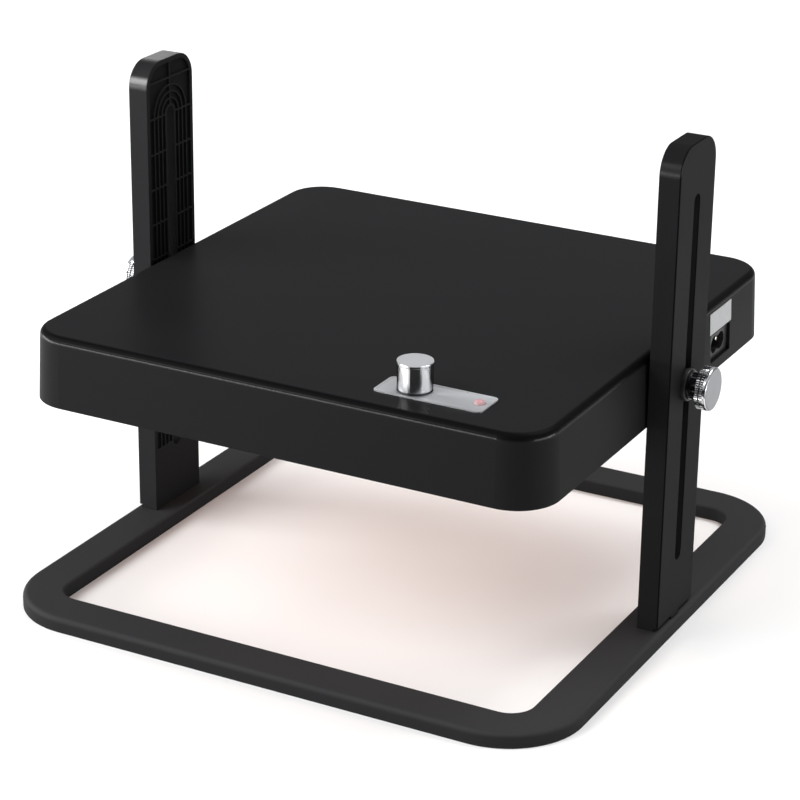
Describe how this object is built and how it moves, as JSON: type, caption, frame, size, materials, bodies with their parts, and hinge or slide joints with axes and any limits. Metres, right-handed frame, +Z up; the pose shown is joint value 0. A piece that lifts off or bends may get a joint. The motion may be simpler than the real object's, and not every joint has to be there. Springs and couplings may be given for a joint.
{
  "type": "brooder heating plate",
  "caption": "Square heating plate held between two slotted posts on an open ring, with clamp screws for height and tilt, a heat knob and a power inlet.",
  "frame": {"origin": "on the ground, under the middle of the base ring", "axes": "+X across the posts towards the power inlet's side, -Y towards the side nearest the knob, +Z up"},
  "size_m": [0.296, 0.275, 0.2268],
  "materials": {
    "base_plastic": "moulded black plastic, satin",
    "post_plastic": "moulded black plastic, satin",
    "cover_plastic": "moulded black plastic, fine satin grain",
    "panel_plastic": "moulded black plastic, matt",
    "washer_plastic": "moulded black nylon",
    "inlet_plastic": "moulded black plastic, glossy",
    "chrome_screw": "bright chrome plate, knurled",
    "chrome_knob": "bright chrome plate",
    "steel_washer": "zinc-plated steel",
    "zinc_screw": "zinc-plated steel",
    "steel_shaft": "turned steel",
    "pot_case": "pressed tin-plated steel",
    "fuse_case": "drawn tin-plated can",
    "nickel_pin": "nickel plate",
    "brass": "turned brass",
    "spreader_sheet": "rolled sheet",
    "control_plate": "anodised silver, satin",
    "foil_sticker": "silver foil sticker, blank",
    "heating_film": "amber film",
    "insulation_felt": "needled felt",
    "circuit_board": "green lacquer",
    "block_plastic": "moulded green plastic",
    "triac_epoxy": "black epoxy",
    "capacitor_case": "yellow case",
    "led_epoxy": "clear red epoxy",
    "lens_red": "clear red lens",
    "lead_sleeve": "flexible grey sleeve"
  },
  "bodies": {
    "stand": {"base_frame": "base_plastic", "left_post": "post_plastic", "right_post": "post_plastic", "post_screws": "zinc_screw"},
    "slider": {"left_guide_washer": "washer_plastic", "right_guide_washer": "washer_plastic"},
    "knob": {"control_knob": "chrome_knob", "pot_shaft": "steel_shaft"},
    "left_washer": {"left_screw_washer": "steel_washer"},
    "left_screw": {"left_thumbscrew": "chrome_screw"},
    "right_washer": {"right_screw_washer": "steel_washer"},
    "right_screw": {"right_thumbscrew": "chrome_screw"},
    "heater": {"top_cover": "cover_plastic", "bottom_panel": "panel_plastic", "panel_screws": "zinc_screw", "heat_spreader": "spreader_sheet", "heating_film": "heating_film", "film_terminals": "brass", "insulation_pad": "insulation_felt", "left_insert": "brass", "right_insert": "brass", "control_plate": "control_plate", "potentiometer": "pot_case", "pot_nut": "zinc_screw", "control_board": "circuit_board", "board_screws": "zinc_screw", "terminal_block": "block_plastic", "dimmer_triac": "triac_epoxy", "filter_capacitor": "capacitor_case", "indicator_led": "led_epoxy", "indicator_lens": "lens_red", "power_inlet": "inlet_plastic", "inlet_pins": "nickel_pin", "inlet_sticker": "foil_sticker", "supply_leads": "lead_sleeve", "heater_leads": "lead_sleeve", "thermal_fuse": "fuse_case"}
  },
  "joints": [
    {"name": "height", "type": "slide", "parent": "stand", "child": "slider", "axis": [0, 0, 1], "range_m": [-0.0725, 0.075]},
    {"name": "tilt", "type": "hinge", "parent": "slider", "child": "heater", "pos_m": [0, 0, 0.118], "axis": [1, 0, 0], "range_deg": [-10, 10]},
    {"name": "knob_turn", "type": "hinge", "parent": "heater", "child": "knob", "pos_m": [0.056, -0.1004, 0.134], "axis": [0, 0, 1], "range_deg": [-270, 0]},
    {"name": "left_screw_travel", "type": "slide", "parent": "heater", "child": "left_washer", "axis": [-1, 0, 0], "range_m": [0, 0.0012]},
    {"name": "left_screw_turn", "type": "hinge", "parent": "left_washer", "child": "left_screw", "pos_m": [-0.14, 0, 0.118], "axis": [-1, 0, 0], "range_deg": [0, 542]},
    {"name": "right_screw_travel", "type": "slide", "parent": "heater", "child": "right_washer", "axis": [1, 0, 0], "range_m": [0, 0.0012]},
    {"name": "right_screw_turn", "type": "hinge", "parent": "right_washer", "child": "right_screw", "pos_m": [0.14, 0, 0.118], "axis": [1, 0, 0], "range_deg": [0, 542]}
  ],
  "couplings": [
    {"joint": "left_screw_turn", "follows": "left_screw_travel", "rad_per_m": 7854},
    {"joint": "right_screw_turn", "follows": "right_screw_travel", "rad_per_m": 7854}
  ]
}
